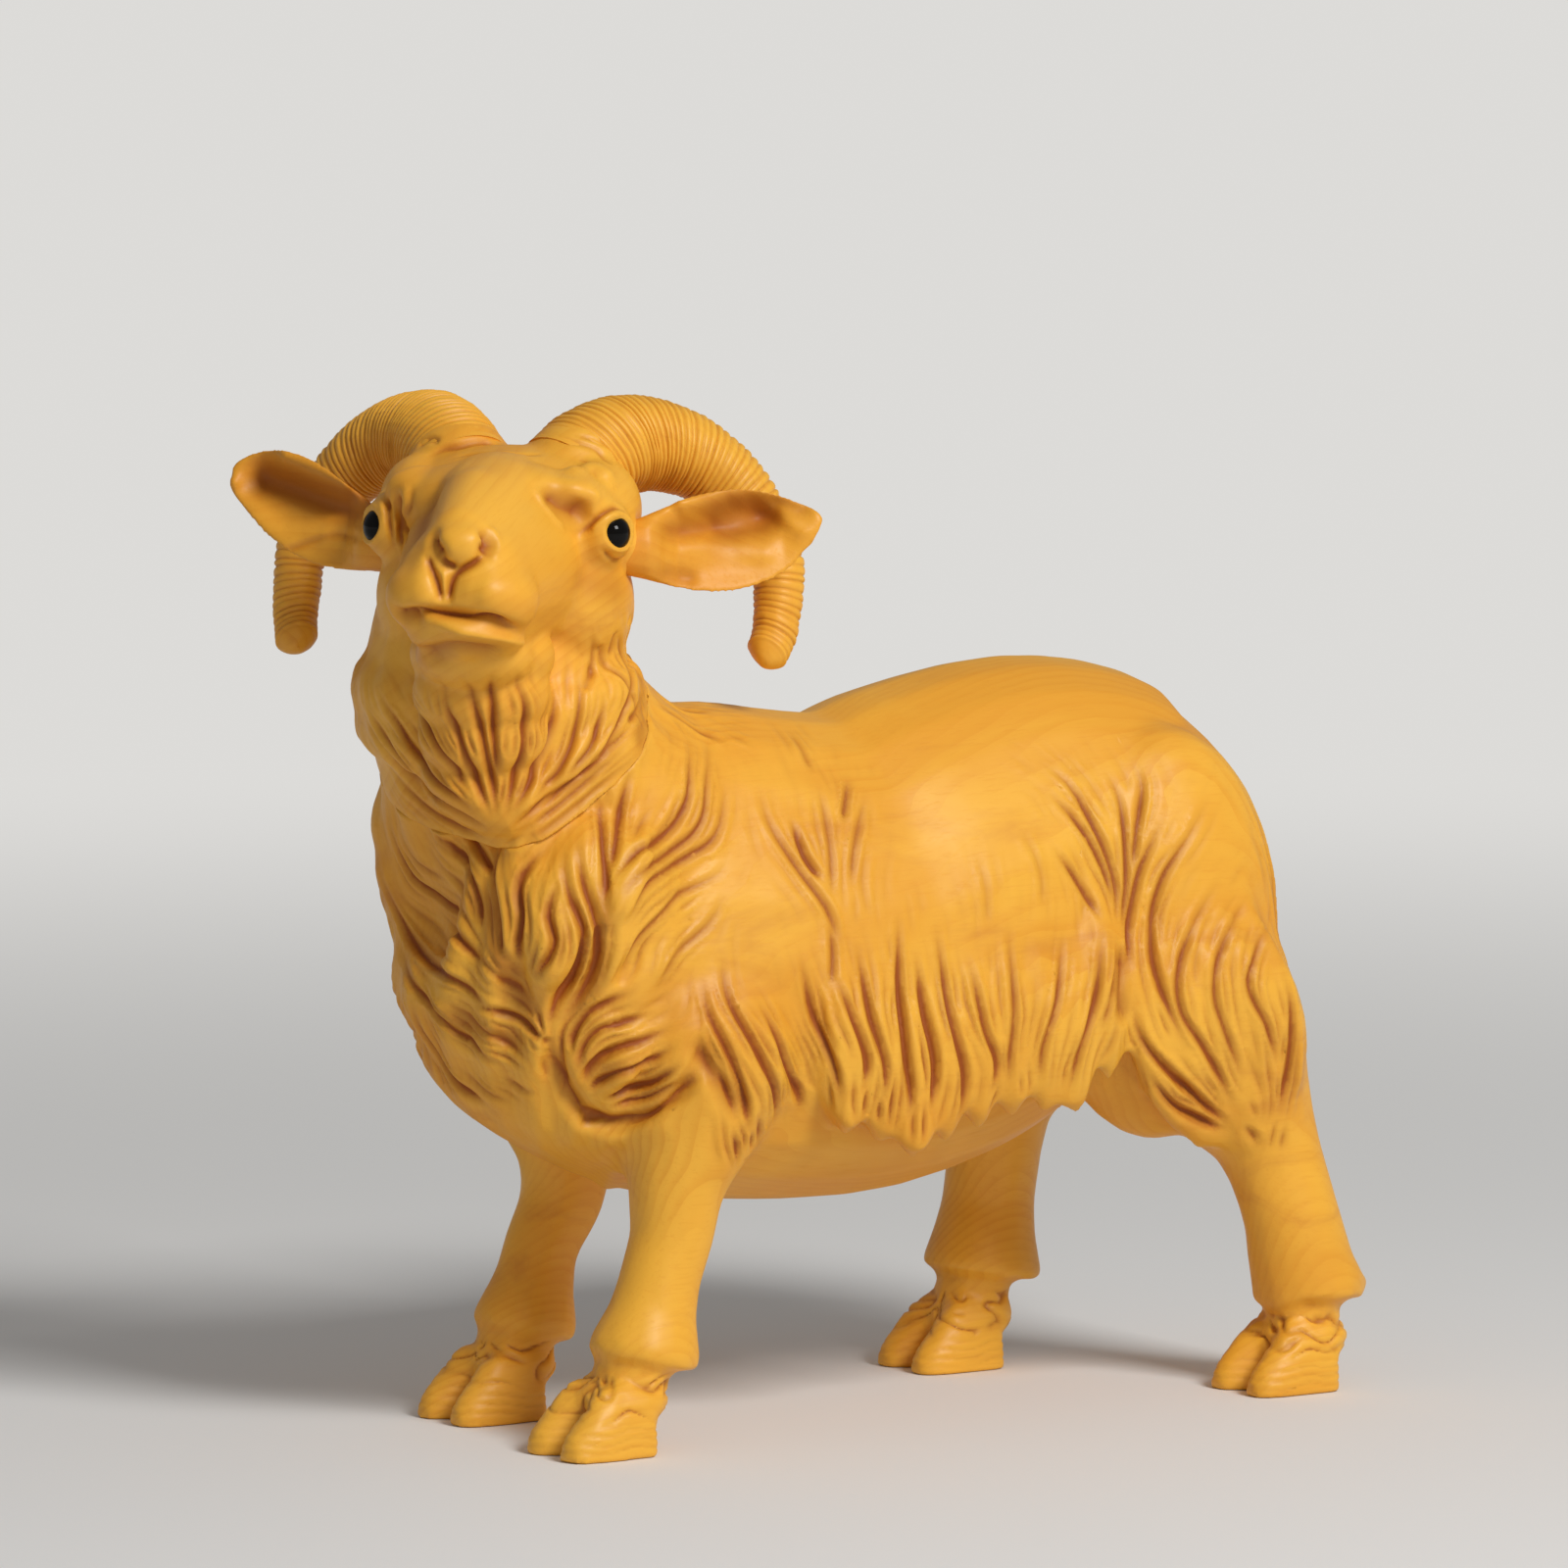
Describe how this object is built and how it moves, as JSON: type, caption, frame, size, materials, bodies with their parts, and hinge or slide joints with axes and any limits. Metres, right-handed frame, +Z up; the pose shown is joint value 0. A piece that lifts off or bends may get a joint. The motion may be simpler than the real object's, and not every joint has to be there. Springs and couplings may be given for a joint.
{
  "type": "goat statuette",
  "caption": "Standing carved boxwood goat with curled ribbed horns, turned head, bead eyes, shaggy chest and belly fringe, on four cloven hooves.",
  "frame": {"origin": "on the ground, at the middle of the bounding box's footprint", "axes": "+Z up, the body looks along -Y, the goat's own left side is +X"},
  "size_m": [0.0664, 0.139, 0.1238],
  "materials": {
    "boxwood": "satin wax",
    "hornwood": "satin wax",
    "pinwood": "raw",
    "black_glass": "polished"
  },
  "bodies": {
    "root": {"body": "boxwood", "head": "boxwood", "horn_left": "hornwood", "horn_right": "hornwood", "ear_left": "boxwood", "ear_right": "boxwood", "eye_left": "black_glass", "eye_right": "black_glass", "neck_dowel": "pinwood", "horn_pin_left": "pinwood", "horn_pin_right": "pinwood", "ear_pin_left": "pinwood", "ear_pin_right": "pinwood"}
  },
  "joints": []
}
